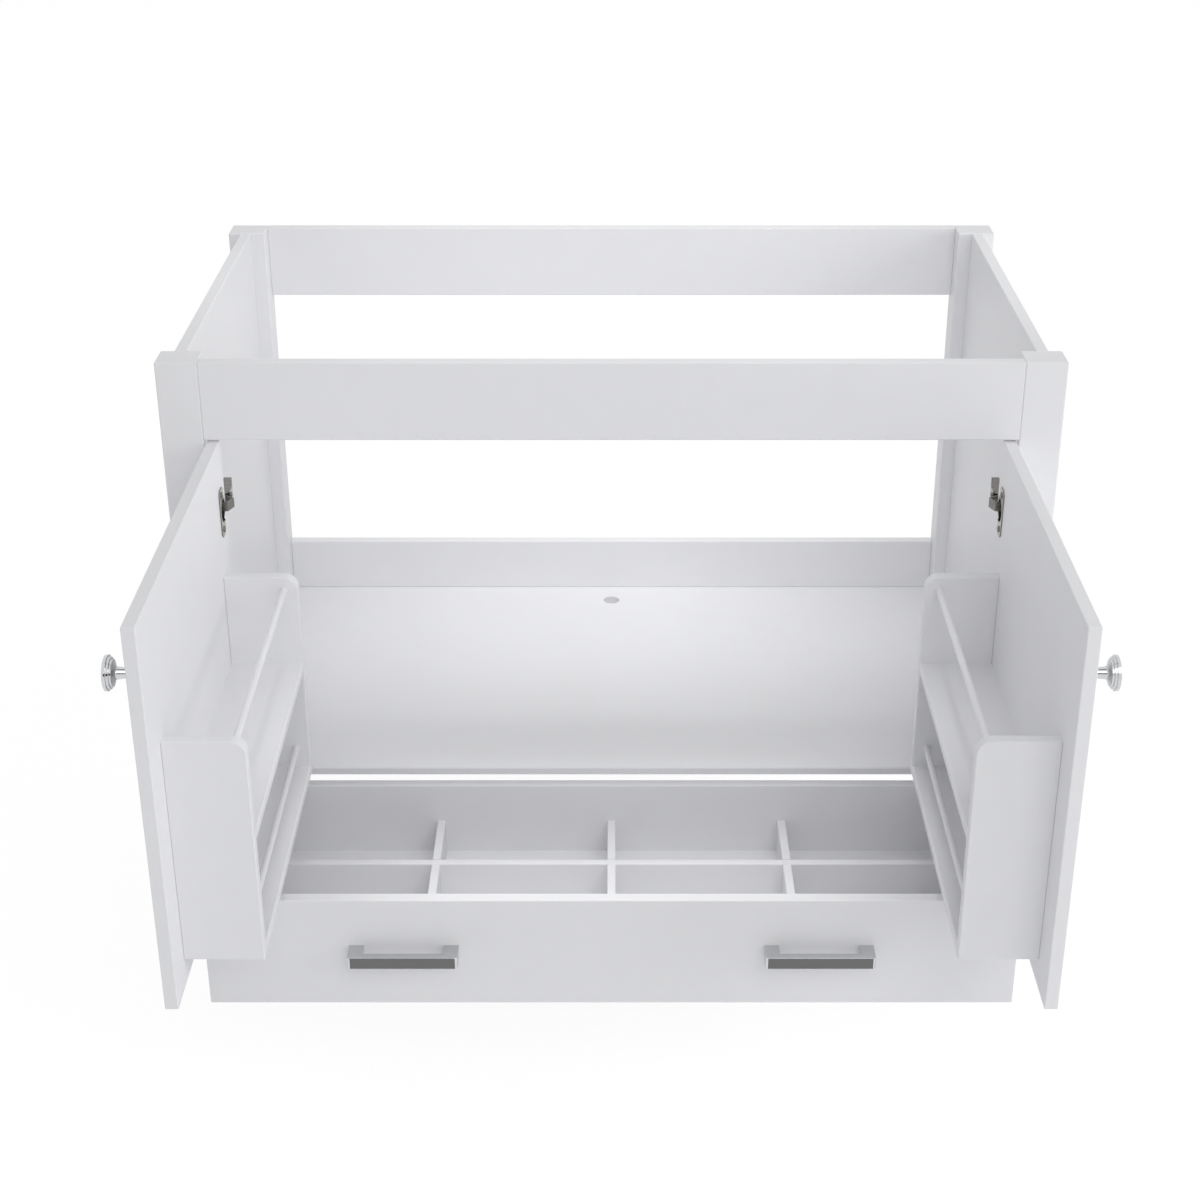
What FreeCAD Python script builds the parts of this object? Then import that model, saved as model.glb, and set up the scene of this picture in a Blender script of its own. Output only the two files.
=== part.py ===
import FreeCAD, Part
import math
import os

from FreeCAD import Vector

# Sink base cabinet: four corner posts, side panels, three rails and a shelf, two
# inset doors that carry racks, and one wide divided drawer below them.
#
# Millimetres, +Z up, +X to the viewer's right, the front faces -Y.  The origin is on
# the floor, at the middle of the box that the cabinet fills at rest.  At rest both
# doors stand open square to the front and the drawer is pulled out to its stop.
#
# Doors are built shut and on the left, then turned open; the right one mirrors the
# left.  The drawer is built shut and then drawn out.

os.makedirs("parts", exist_ok=True)

# ---- driving dimensions -------------------------------------------------------

# overall
WIDTH = 914.0
DEPTH = 476.0
HEIGHT = 762.0
BOARD = 12.7                 # half-inch board: panels, rails, doors, drawer front
EASE = 0.8                   # chamfer that eases a painted board's edges

# carcass
POST_W = 43.0
POST_D = 35.0
SIDE_INSET = 14.2            # side panel behind the outer face of its posts
FRONT_RAIL_H = 83.5
BACK_RAIL_H = 84.0
LOWER_RAIL_H = 66.0

# shelf
SHELF_T = 10.0
SHELF_TOP = 279.0
SHELF_SETBACK = 18.0         # front edge behind the front plane
SHELF_HOLE_R = 10.0
SHELF_HOLE_FROM_FRONT = 426.0

# doors
DOOR_TOP_GAP = 2.5
DOOR_BOTTOM = 278.0
HINGE_GAP = 2.5              # shut door to post
MEETING_GAP = 2.0            # shut door to shut door
PIVOT_IN = 6.0               # turning axis in from the post's inner face
PIVOT_BACK = 3.8             # turning axis behind the front plane
DOOR_OPEN = 90.0             # degrees at rest

# knob
KNOB_FROM_EDGE = 25.0
KNOB_DROP = 57.0             # below the door's top edge
STUD_R = 2.0

# hinge, two on each door
HINGE_FROM_END = 70.6        # hinge centre from the door's top or bottom edge
CUP_FROM_EDGE = 18.0
CUP_R = 13.0
CUP_DEPTH = 9.6
SHEET = 1.2
CUP_WALL = 0.8
FLANGE_H = 52.0
FLANGE_W = 19.0
FLANGE_FROM_EDGE = 23.0      # flange centre line
CUP_SCREW_SPACING = 38.0
PLATE_SCREW_SPACING = 32.0
LINK_TURN = 0.65             # link's turn for each degree of the door

# door rack
RACK_FROM = 33.3             # side board nearest the hinges, from the hinge edge
RACK_LENGTH = 338.0
RACK_DEPTH = 75.5
RACK_TOP = 541.3
RACK_BOTTOM = 305.0
RACK_BOARD = 12.0
RACK_SHELF_T = 10.0
UPPER_SHELF_TOP = 440.5
RACK_CORNER_R = 14.0
ROD_R = 3.5
LOWER_ROD_RISE = 23.0        # above the lower shelf
ROD_SOCKET = 8.0

# drawer
FRONT_H = 127.0
DRAWER_FRONT_TOP = 275.5
DRAWER_SIDE_GAP = 2.5
BOX_T = 12.0
BOX_LENGTH = 238.0
BOX_TOP = 260.0
BOX_BOTTOM = 166.0
FLOOR_TOP = 174.0
FLOOR_T = 5.0
FLOOR_TONGUE = 5.0           # how far the floor panel enters the box boards
DIVIDER_T = 9.0
DIVIDER_H = 40.0
CROSS_FROM_FRONT = 158.0     # crosswise divider's middle behind the front plane

# drawer slide: three nested channels
SLIDE_T = 12.7
SLIDE_LENGTH = 228.6
SLIDE_FROM_FRONT = 15.0
SLIDE_Z = 209.0
SLIDE_TRAVEL = 228.6
CLEAT_T = 30.0
CLEAT_H = 45.0

# pulls
PULL_X = 210.0
PULL_Z = 214.5
PULL_SPACING = 96.0
PULL_LEG = 15.0
PULL_H = 13.0
PULL_REACH = 22.0
PULL_BAR_T = 8.0

# joinery
TONGUE_T = 6.7               # thickness of tenons and panel tongues
RAIL_TENON = 14.0
PANEL_TONGUE = 6.0
SHELF_TONGUE = 4.0
BOX_TONGUE = 5.0
END_ROOM = 0.5               # a mortise or groove is this much deeper than its tongue
FIT = 0.05                   # radial room of a rod, pin or screw in its hole

# ---- places worked out from the dimensions ------------------------------------

OPEN_HALF = WIDTH / 2 - POST_W
DOOR_W = OPEN_HALF - HINGE_GAP - MEETING_GAP / 2
DOOR_TOP = HEIGHT - FRONT_RAIL_H - DOOR_TOP_GAP
# how far an open door's free edge stands in front of the front plane
OPEN_REACH = DOOR_W - (PIVOT_IN - HINGE_GAP) - PIVOT_BACK
FRONT = (OPEN_REACH - DEPTH) / 2
BACK = FRONT + DEPTH
SIDE_OUT = WIDTH / 2 - SIDE_INSET
SIDE_IN = SIDE_OUT - BOARD
APRON = DRAWER_FRONT_TOP - FRONT_H       # bottom of the side panels and drawer front
PIVOT = Vector(-(OPEN_HALF - PIVOT_IN), FRONT + PIVOT_BACK, 0)
HINGE_EDGE = -(OPEN_HALF - HINGE_GAP)    # shut left door
INNER_FACE = FRONT + BOARD               # inner face of a shut door or drawer front
HINGE_HEIGHTS = (DOOR_TOP - HINGE_FROM_END, DOOR_BOTTOM + HINGE_FROM_END)
CLEAT_IN = SIDE_IN - CLEAT_T
BOX_OUT = CLEAT_IN - SLIDE_T
BOX_IN = BOX_OUT - BOX_T
BOX_BACK = INNER_FACE + BOX_LENGTH
DIVIDER_X = (2 * BOX_IN + DIVIDER_T) / 4  # makes the four columns equal
UP = Vector(0, 0, 1)
RIGHT = Vector(1, 0, 0)
REAR = Vector(0, 1, 0)


# ---- helpers -------------------------------------------------------------------

def box(x0, x1, y0, y1, z0, z1):
    """Plain box between two corners."""
    return Part.makeBox(x1 - x0, y1 - y0, z1 - z0, Vector(x0, y0, z0))


def board(x0, x1, y0, y1, z0, z1, ease=EASE):
    """Painted board with every edge eased."""
    blank = box(x0, x1, y0, y1, z0, z1)
    return blank.makeChamfer(ease, blank.Edges)


def cylinder(start, direction, radius, length):
    """Round bar from start along direction."""
    return Part.makeCylinder(radius, length, start, direction)


def ring(centre, direction, radius, sides):
    """Regular outline square to a direction, with its corners on the radius."""
    across = UP.cross(direction)
    if across.Length < 1e-6:
        across = RIGHT
    other = direction.cross(across)
    spots = []
    for step in range(sides + 1):
        turn = 2 * math.pi * step / sides
        spots.append(centre + across * (radius * math.cos(turn)) + other * (radius * math.sin(turn)))
    return Part.makePolygon(spots)


def facet_bar(start, direction, radius, length, sides):
    """Straight bar with a regular outline."""
    return Part.Face(ring(start, direction, radius, sides)).extrude(direction * length)


def turned(seat, direction, profile, sides):
    """Turned piece with many flats, from a half profile of (radius, reach) steps."""
    rings = [ring(seat + direction * reach, direction, radius, sides) for radius, reach in profile]
    faces = [Part.Face(rings[0]), Part.Face(rings[-1])]
    for near, far, here, there in zip(rings[:-1], rings[1:], profile[:-1], profile[1:]):
        if abs(here[1] - there[1]) < 1e-6:
            pair = [near, far] if here[0] > there[0] else [far, near]
            faces.append(Part.Face(pair))
            continue
        for low, high in zip(near.Edges, far.Edges):
            a, b = low.Vertexes[0].Point, low.Vertexes[-1].Point
            c, d = high.Vertexes[-1].Point, high.Vertexes[0].Point
            faces.append(Part.Face(Part.makePolygon([a, b, c, d, a])))
    shell = Part.makeShell(faces)
    shell.sewShape()
    shell.fix(1e-4, 1e-4, 1e-4)
    body = Part.makeSolid(shell)
    if body.Volume < 0:
        body.reverse()
    return body


def prism(points, z0, z1):
    """Upright prism on a plan outline of (x, y) points."""
    outline = Part.makePolygon([Vector(x, y, z0) for x, y in points + points[:1]])
    return Part.Face(outline).extrude(Vector(0, 0, z1 - z0))


def mirrored(shape):
    """The same piece on the other side of the cabinet."""
    return shape.mirror(Vector(0, 0, 0), RIGHT)


def both_sides(shape):
    """A piece and its mirror image, as one group."""
    return [shape, mirrored(shape)]


def moved_back(shape, distance):
    """A copy pushed along +Y."""
    copy = shape.copy()
    copy.translate(Vector(0, distance, 0))
    return copy


def edges_along(shape, direction):
    """Straight edges parallel to a direction."""
    found = []
    for edge in shape.Edges:
        if not isinstance(edge.Curve, Part.Line):
            continue
        if abs(abs(edge.tangentAt(edge.FirstParameter).dot(direction)) - 1) < 1e-6:
            found.append(edge)
    return found


def at_place(edges, **limits):
    """Edges whose middle is at the given x, y or z."""
    keep = []
    for edge in edges:
        middle = edge.CenterOfMass
        if all(abs(getattr(middle, axis) - value) < 1e-3 for axis, value in limits.items()):
            keep.append(edge)
    return keep


def drill(shape, holes):
    """Cut a list of cylinders out of a shape."""
    for hole in holes:
        shape = shape.cut(hole)
    return shape


def save(node, *shapes):
    """Write the solids of a node to its STEP file."""
    solids = [solid for shape in shapes for solid in shape.Solids]
    for solid in solids:
        if not solid.isValid() or solid.Volume <= 0:
            print("check", node, solid.isValid(), round(solid.Volume, 3))
    whole = solids[0] if len(solids) == 1 else Part.makeCompound(solids)
    whole.exportStep("parts/%s.step" % node)


# ---- tongues and mortises, right side ---------------------------------------------

def grown(room, x0, x1, y0, y1, z0, z1, along):
    """Box lengthened by room at its far end along x, or at both ends along y."""
    if along == "x":
        return box(x0, x1 + room, y0, y1, z0, z1)
    return box(x0, x1, y0 - room, y1 + room, z0, z1)


def rail_spans():
    """Rear-to-front middle, bottom and top of the three rails."""
    return [(FRONT + BOARD / 2, HEIGHT - FRONT_RAIL_H, HEIGHT),
            (BACK - BOARD / 2, HEIGHT - BACK_RAIL_H, HEIGHT),
            (BACK - BOARD / 2, SHELF_TOP, SHELF_TOP + LOWER_RAIL_H)]


def rail_tenon(span, room=0.0):
    """Tenon of a rail in its right post; room makes it the mortise."""
    y, z0, z1 = span
    return grown(room, OPEN_HALF, OPEN_HALF + RAIL_TENON, y - TONGUE_T / 2, y + TONGUE_T / 2,
                 z0 + 12, z1 - 12, "x")


def panel_tongues(room=0.0):
    """The side panel's two tongues as one bar; room makes it the grooves."""
    x = (SIDE_IN + SIDE_OUT) / 2
    return grown(room, x - TONGUE_T / 2, x + TONGUE_T / 2, FRONT + POST_D - PANEL_TONGUE,
                 BACK - POST_D + PANEL_TONGUE, APRON + 12, HEIGHT - 12, "y")


def shelf_tongue(room=0.0):
    """Edge of the shelf housed in the side panel; room makes it the groove."""
    return grown(room, SIDE_IN, SIDE_IN + SHELF_TONGUE, FRONT + POST_D, BACK - POST_D,
                 SHELF_TOP - SHELF_T, SHELF_TOP, "x")


# ---- carcass -------------------------------------------------------------------

def post(y0):
    """Right corner post, mortised for the rails and grooved for the side panel."""
    blank = board(OPEN_HALF, WIDTH / 2, y0, y0 + POST_D, 0, HEIGHT, 1.2)
    return drill(blank, [rail_tenon(span, END_ROOM) for span in rail_spans()]
                 + [panel_tongues(END_ROOM)])


def side_panel():
    """Right side panel between its posts."""
    blank = board(SIDE_IN, SIDE_OUT, FRONT + POST_D, BACK - POST_D, APRON, HEIGHT)
    return blank.fuse(panel_tongues()).cut(shelf_tongue(END_ROOM))


def rail(span):
    """Rail across the cabinet, with a tenon at each end."""
    y, z0, z1 = span
    blank = board(-OPEN_HALF, OPEN_HALF, y - BOARD / 2, y + BOARD / 2, z0, z1)
    return blank.fuse(both_sides(rail_tenon(span)))


def shelf():
    """Shelf notched round the posts, with one hole near the back."""
    y0 = FRONT + SHELF_SETBACK
    z0 = SHELF_TOP - SHELF_T
    wide = SIDE_IN + SHELF_TONGUE
    panel = box(-wide, wide, y0, BACK, z0, SHELF_TOP)
    panel = panel.makeChamfer(1.5, at_place(edges_along(panel, RIGHT), y=y0))
    for near, far in ((FRONT, FRONT + POST_D), (BACK - POST_D, BACK)):
        notch = box(OPEN_HALF, wide, near, far, z0, SHELF_TOP)
        panel = drill(panel, both_sides(notch))
    hole = cylinder(Vector(0, FRONT + SHELF_HOLE_FROM_FRONT, z0), UP, SHELF_HOLE_R, SHELF_T)
    return panel.cut(hole)


def cleat():
    """Right cleat that brings the drawer slide in from the side panel."""
    z0 = SLIDE_Z - CLEAT_H / 2
    blank = board(CLEAT_IN, SIDE_IN, FRONT + POST_D, BACK - POST_D, z0, z0 + CLEAT_H)
    return drill(blank, [screw[1] for screw in outer_slide_screws()])


# ---- screws --------------------------------------------------------------------

HEAD_SIDES = 8
SHANK_SIDES = 6


def pan_screw(seat, into, head_r, head_t, shank_r, length):
    """Screw seated on a face and driven along a direction, and its pilot hole."""
    head = facet_bar(seat - into * head_t, into, head_r, head_t, HEAD_SIDES)
    shank = facet_bar(seat, into, shank_r - FIT, length, SHANK_SIDES)
    return head.fuse(shank), facet_bar(seat, into, shank_r, length + 1, SHANK_SIDES)


# ---- door ----------------------------------------------------------------------

def hinge_cup(z):
    """Stamped cup with its flange, sunk in the shut door's inner face."""
    x = HINGE_EDGE + CUP_FROM_EDGE
    mouth = Vector(x, INNER_FACE, z)
    cup = cylinder(mouth - REAR * CUP_DEPTH, REAR, CUP_R - FIT, CUP_DEPTH)
    plate_x = HINGE_EDGE + FLANGE_FROM_EDGE
    plate = box(plate_x - FLANGE_W / 2, plate_x + FLANGE_W / 2, INNER_FACE,
                INNER_FACE + SHEET, z - FLANGE_H / 2, z + FLANGE_H / 2)
    plate = plate.makeChamfer(4.0, edges_along(plate, REAR))
    body = cup.fuse(plate).removeSplitter()
    hollow = cylinder(mouth - REAR * (CUP_DEPTH - CUP_WALL), REAR, CUP_R - CUP_WALL,
                      CUP_DEPTH + SHEET)
    body = body.cut(hollow)
    for _, hole in cup_screws(z):
        body = body.cut(hole).cut(moved_back(hole, SHEET))
    return body


def cup_screws(z):
    """The two screws of a cup flange, each with its pilot hole."""
    x = HINGE_EDGE + FLANGE_FROM_EDGE
    made = []
    for side in (-1, 1):
        seat = Vector(x, INNER_FACE + SHEET, z + side * CUP_SCREW_SPACING / 2)
        made.append(pan_screw(seat, -REAR, 3.3, 1.5, 1.6, 9.0))
    return made


def door_board():
    """Door leaf with its cup pockets, pilot holes and stud hole."""
    leaf = board(HINGE_EDGE, HINGE_EDGE + DOOR_W, FRONT, INNER_FACE, DOOR_BOTTOM, DOOR_TOP)
    for z in HINGE_HEIGHTS:
        mouth = Vector(HINGE_EDGE + CUP_FROM_EDGE, INNER_FACE, z)
        pocket = cylinder(mouth - REAR * CUP_DEPTH, REAR, CUP_R, CUP_DEPTH)
        leaf = leaf.cut(pocket)
        leaf = drill(leaf, [hole for _, hole in cup_screws(z)])
    return leaf.cut(facet_bar(knob_seat(), REAR, STUD_R, 9.0, SHANK_SIDES))


def knob_seat():
    """Point on the outer face under the knob."""
    return Vector(HINGE_EDGE + DOOR_W - KNOB_FROM_EDGE, FRONT, DOOR_TOP - KNOB_DROP)


def knob():
    """Turned knob: a tapered stem, a cone, stepped rings and a low crown."""
    # half profile as (radius, distance from the door)
    profile = [(4.3, 0.0), (5.9, 14.4), (12.2, 16.4), (12.2, 18.2), (14.2, 18.2), (14.2, 20.4),
               (16.0, 20.4), (16.0, 23.4), (13.0, 25.3), (6.0, 26.0)]
    seat = knob_seat()
    body = turned(seat, -REAR, profile, 40)
    return body.cut(facet_bar(seat, -REAR, STUD_R, 12.0, SHANK_SIDES))


def knob_stud():
    """Stud that holds the knob, half in the knob and half in the door."""
    return facet_bar(knob_seat() - REAR * 11.0, REAR, STUD_R - FIT, 19.0, SHANK_SIDES)


def rack_side(x0):
    """Rack side board with its free top corner rounded."""
    y1 = INNER_FACE + RACK_DEPTH
    blank = box(x0, x0 + RACK_BOARD, INNER_FACE, y1, RACK_BOTTOM, RACK_TOP)
    corner = at_place(edges_along(blank, RIGHT), y=y1, z=RACK_TOP)
    blank = blank.makeFillet(RACK_CORNER_R, corner)
    blank = blank.makeChamfer(EASE, face_rim(blank, x0) + face_rim(blank, x0 + RACK_BOARD))
    housings = [rack_tongue(top, END_ROOM) for top in rack_shelf_tops()]
    return drill(blank, housings + [hole for _, hole in guard_rods()])


def face_rim(shape, x):
    """Edges that lie in the plane at x."""
    rim = []
    for edge in shape.Edges:
        box_x = edge.BoundBox
        if abs(box_x.XMin - x) < 1e-3 and abs(box_x.XMax - x) < 1e-3:
            rim.append(edge)
    return rim


def rack_inside():
    """X of the two inner faces of the rack's side boards."""
    left = HINGE_EDGE + RACK_FROM + RACK_BOARD
    return left, left + RACK_LENGTH - 2 * RACK_BOARD


def rack_shelf(top):
    """Rack shelf between the side boards, against the door."""
    x0, x1 = rack_inside()
    y1 = INNER_FACE + RACK_DEPTH
    blank = box(x0, x1, INNER_FACE, y1, top - RACK_SHELF_T, top)
    blank = blank.makeChamfer(1.2, at_place(edges_along(blank, RIGHT), y=y1))
    return blank.fuse(rack_tongue(top))


def rack_tongue(top, room=0.0):
    """Both end tongues of a rack shelf as one bar; room makes it their housings."""
    x0, x1 = rack_inside()
    y0 = INNER_FACE + 12.0
    z0 = top - RACK_SHELF_T + 2
    return box(x0 - SHELF_TONGUE - room, x1 + SHELF_TONGUE + room, y0,
               INNER_FACE + RACK_DEPTH - 12.0, z0, top - 2)


def rack_shelf_tops():
    """Top faces of the upper and lower rack shelves."""
    return UPPER_SHELF_TOP, RACK_BOTTOM + RACK_SHELF_T


def guard_rods():
    """Round rods in front of the two bins, each with its sockets."""
    x0, x1 = rack_inside()
    y = INNER_FACE + RACK_DEPTH - RACK_CORNER_R
    heights = (RACK_TOP - RACK_CORNER_R, rack_shelf_tops()[1] + LOWER_ROD_RISE)
    made = []
    for z in heights:
        start = Vector(x0 - ROD_SOCKET, y, z)
        length = x1 - x0 + 2 * ROD_SOCKET
        rod = cylinder(start, RIGHT, ROD_R - FIT, length)
        made.append((rod, cylinder(start, RIGHT, ROD_R, length)))
    return made


def opened(shape):
    """A shut left door's piece turned to its place at rest."""
    copy = shape.copy()
    copy.rotate(PIVOT, UP, -DOOR_OPEN)
    return copy


# ---- hinge arm and links (left side, at rest) -----------------------------------

ARM_HALF = 6.8               # half height of the arm
EAR_T = 1.2
LINK_HALF = 5.2
KNUCKLE_R = 1.9
PIN_R = 1.0
LINK_T = 1.2
PLATE_T = 2.2
PLATE_HALF = 22.0
RIB_HALF = 4.6
POST_FACE = -OPEN_HALF


def from_front(x, back):
    """Plan point given by its distance behind the front plane."""
    return (x, FRONT + back)


KNUCKLE = from_front(-402.9, 16.45)
# centre line of the curved link, from its tip in the cup to its knuckle
LINK_LINE = [from_front(-403.0, -2.2), from_front(-395.6, -1.4),
             from_front(-391.3, 9.11), KNUCKLE]


def strip(points, thickness, z0, z1):
    """Bent sheet along a plan polyline, mitred at its bends."""
    half = thickness / 2
    near, far = [], []
    for index, (x, y) in enumerate(points):
        before = points[max(index - 1, 0)]
        after = points[min(index + 1, len(points) - 1)]
        first = Vector(x - before[0], y - before[1], 0)
        second = Vector(after[0] - x, after[1] - y, 0)
        first = second if first.Length < 1e-9 else first
        second = first if second.Length < 1e-9 else second
        first.normalize()
        second.normalize()
        mid = first + second
        mid.normalize()
        reach = half / mid.dot(first)
        side = Vector(-mid.y, mid.x, 0) * reach
        near.append((x + side.x, y + side.y))
        far.append((x - side.x, y - side.y))
    return prism(near + far[::-1], z0, z1)


def hinge_link(z):
    """Curved link with a rolled knuckle on its pin and a rolled tip in the cup."""
    sheet = strip(LINK_LINE, LINK_T, z - LINK_HALF, z + LINK_HALF)
    base = Vector(KNUCKLE[0], KNUCKLE[1], z - LINK_HALF)
    tip = Vector(LINK_LINE[0][0], LINK_LINE[0][1], z - LINK_HALF)
    body = sheet.fuse(facet_bar(base, UP, KNUCKLE_R, 2 * LINK_HALF, 12))
    body = body.fuse(facet_bar(tip, UP, 1.0, 2 * LINK_HALF, 8))
    return body.removeSplitter().cut(cylinder(base, UP, PIN_R + FIT, 2 * LINK_HALF))


def hinge_arm(z):
    """Folded arm: two ears round the knuckle pin and a web that slopes to the rear."""
    web_front, web_bend, web_rear = 20.5, 34.0, 58.0
    face, rear_face, foot = -396.6, -401.0, -409.0
    ear = [(KNUCKLE[0] - KNUCKLE_R, KNUCKLE[1]), from_front(foot, 21.5),
           from_front(foot, web_rear), from_front(rear_face, web_rear),
           from_front(face, web_bend), from_front(face, web_front + 1.5),
           (KNUCKLE[0] + KNUCKLE_R, KNUCKLE[1])]
    web = [from_front(face, web_front + 1.5), from_front(face, web_bend),
           from_front(rear_face, web_rear), from_front(rear_face - SHEET, web_rear),
           from_front(face - SHEET, web_bend), from_front(face - SHEET, web_front + 1.5)]
    body = prism(web, z - ARM_HALF, z + ARM_HALF)
    for low in (z - ARM_HALF, z + ARM_HALF - EAR_T):
        nose = Vector(KNUCKLE[0], KNUCKLE[1], low)
        body = body.fuse(prism(ear, low, low + EAR_T))
        body = body.fuse(facet_bar(nose, UP, KNUCKLE_R, EAR_T, 12))
    body = body.removeSplitter()
    hole_r = PIN_R / math.cos(math.pi / 8)
    foot_point = Vector(KNUCKLE[0], KNUCKLE[1], z - ARM_HALF)
    pin_hole = facet_bar(foot_point, UP, hole_r, 2 * ARM_HALF, 8)
    sight = facet_bar(Vector(-390, FRONT + 46.0, z), -RIGHT, 3.6, 12.5, HEAD_SIDES)
    adjuster = facet_bar(Vector(-390, FRONT + 28.0, z), -RIGHT, 1.8, 12.5, SHANK_SIDES)
    return drill(body, [pin_hole, sight, adjuster])


def knuckle_pin(z):
    """Pin through the arm's ears and the link."""
    foot = Vector(KNUCKLE[0], KNUCKLE[1], z - ARM_HALF - 0.5)
    return cylinder(foot, UP, PIN_R, 2 * ARM_HALF + 1.0)


def mounting_plate(z):
    """Winged plate on the post with the rib that carries the arm."""
    y0, y1 = FRONT + 18.0, FRONT + 34.5
    wings = box(POST_FACE, POST_FACE + PLATE_T, y0, y1, z - PLATE_HALF, z + PLATE_HALF)
    wings = wings.makeChamfer(5.0, edges_along(wings, RIGHT))
    rib = box(POST_FACE + PLATE_T, -403.5, FRONT + 20.0, FRONT + 56.0, z - RIB_HALF, z + RIB_HALF)
    rib = rib.makeChamfer(1.5, at_place(edges_along(rib, UP), x=-403.5))
    body = wings.fuse(rib).removeSplitter()
    for _, hole in arm_screws(z):
        body = body.cut(hole)
    return drill(body, [moved_in(hole, PLATE_T) for _, hole in plate_screws(z)])


def moved_in(shape, distance):
    """A copy pushed along +X."""
    copy = shape.copy()
    copy.translate(Vector(distance, 0, 0))
    return copy


def plate_screws(z):
    """The two screws of a mounting plate, each with its pilot hole in the post."""
    made = []
    for side in (-1, 1):
        seat = Vector(POST_FACE + PLATE_T, FRONT + 26.5, z + side * PLATE_SCREW_SPACING / 2)
        made.append(pan_screw(seat, -RIGHT, 3.4, 1.6, 1.7, 14.0))
    return made


def arm_screws(z):
    """Adjusting screw on the web, and fixing screw seen through the web's hole."""
    adjuster = pan_screw(Vector(-396.6, FRONT + 28.0, z), -RIGHT, 3.0, 1.4, 1.6, 11.5)
    fixing = pan_screw(Vector(-403.5, FRONT + 46.0, z), -RIGHT, 3.0, 1.5, 1.6, 6.5)
    return [adjuster, fixing]


# ---- drawer slide (right side, shut) ---------------------------------------------

def channel(web, mouth, half, lip, y0, length):
    """Rolled channel along Y: a web, two flanges and small lips at the mouth."""
    turn = 1 if mouth > web else -1
    inner = half - SHEET
    x1 = mouth - turn * SHEET
    xw = web + turn * SHEET
    upper = [(xw, inner), (x1, inner), (x1, inner - lip), (mouth, inner - lip),
             (mouth, half), (web, half)]
    lower = [(x, -z) for x, z in upper[::-1]]
    outline = [Vector(x, y0, SLIDE_Z + z) for x, z in upper + lower]
    section = Part.Face(Part.makePolygon(outline + outline[:1]))
    body = section.extrude(Vector(0, length, 0))
    corners = at_place(edges_along(body, REAR), x=web)
    return body.makeChamfer(0.6, corners)


def outer_member():
    """Cabinet member, on the cleat."""
    body = channel(CLEAT_IN, CLEAT_IN - 10.8, 22.5, 1.2, FRONT + SLIDE_FROM_FRONT, SLIDE_LENGTH)
    return drill(body, [moved_in(screw[1], -SHEET) for screw in outer_slide_screws()])


def middle_member():
    """Middle member, between the other two."""
    start = FRONT + SLIDE_FROM_FRONT + 3.0
    return channel(CLEAT_IN - 2.2, CLEAT_IN - 10.9, 18.4, 1.2, start, SLIDE_LENGTH - 6.0)


def inner_member():
    """Drawer member, on the drawer's side."""
    body = channel(BOX_OUT, BOX_OUT + 7.7, 13.6, 0.0, FRONT + SLIDE_FROM_FRONT, SLIDE_LENGTH)
    return drill(body, [moved_in(screw[1], SHEET) for screw in inner_slide_screws()])


def outer_slide_screws():
    """Flat-headed screws from the outer member into the cleat."""
    seats = [Vector(CLEAT_IN - SHEET, FRONT + back, SLIDE_Z) for back in (52.0, 148.0, 230.0)]
    return [pan_screw(seat, RIGHT, 3.6, 0.7, 1.8, 14.0) for seat in seats]


def inner_slide_screws():
    """Flat-headed screws from the inner member into the drawer's side."""
    seats = [Vector(BOX_OUT + SHEET, FRONT + back, SLIDE_Z) for back in (40.0, 128.0, 216.0)]
    return [pan_screw(seat, -RIGHT, 3.6, 0.7, 1.8, 9.0) for seat in seats]


# ---- drawer (shut) ---------------------------------------------------------------

def front_tongue(room=0.0):
    """Tongue at the front end of the drawer's right side; room makes it the housing."""
    x = (BOX_IN + BOX_OUT) / 2
    return box(x - 3.0, x + 3.0, INNER_FACE - BOX_TONGUE - room, INNER_FACE,
               BOX_BOTTOM + 6, BOX_TOP - 6)


def back_tongues(room=0.0):
    """The tongues of the drawer's back as one bar; room makes it their housings."""
    reach = BOX_IN + BOX_TONGUE + room
    y = BOX_BACK - BOX_T / 2
    return box(-reach, reach, y - 3.0, y + 3.0, BOX_BOTTOM + 6, BOX_TOP - 6)


def floor_groove():
    """Space that the floor panel takes in the box boards."""
    return box(-BOX_IN - FLOOR_TONGUE, BOX_IN + FLOOR_TONGUE, INNER_FACE - FLOOR_TONGUE,
               BOX_BACK - BOX_T + FLOOR_TONGUE, FLOOR_TOP - FLOOR_T, FLOOR_TOP)


def drawer_floor():
    """Thin floor panel, a touch smaller than its grooves."""
    play = 0.3
    reach = BOX_IN + FLOOR_TONGUE - play
    return box(-reach, reach, INNER_FACE - FLOOR_TONGUE + play,
               BOX_BACK - BOX_T + FLOOR_TONGUE - play, FLOOR_TOP - FLOOR_T, FLOOR_TOP)


def drawer_front():
    """Inset front, grooved for the floor and drilled for the pulls."""
    half = OPEN_HALF - DRAWER_SIDE_GAP
    blank = board(-half, half, FRONT, INNER_FACE, APRON, DRAWER_FRONT_TOP)
    housings = both_sides(front_tongue(END_ROOM))
    return drill(blank.cut(floor_groove()), housings + pull_screw_holes())


def drawer_side():
    """Right side of the drawer box."""
    blank = board(BOX_IN, BOX_OUT, INNER_FACE, BOX_BACK, BOX_BOTTOM, BOX_TOP)
    pilots = [screw[1] for screw in inner_slide_screws()]
    blank = blank.fuse(front_tongue()).cut(back_tongues(END_ROOM))
    return drill(blank.cut(floor_groove()), pilots)


def drawer_back():
    """Back of the drawer box, between its sides."""
    blank = board(-BOX_IN, BOX_IN, BOX_BACK - BOX_T, BOX_BACK, BOX_BOTTOM, BOX_TOP)
    return blank.fuse(back_tongues()).cut(floor_groove())


SLOT_W = DIVIDER_T + 0.2
CROSS_Y = FRONT + CROSS_FROM_FRONT


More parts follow.
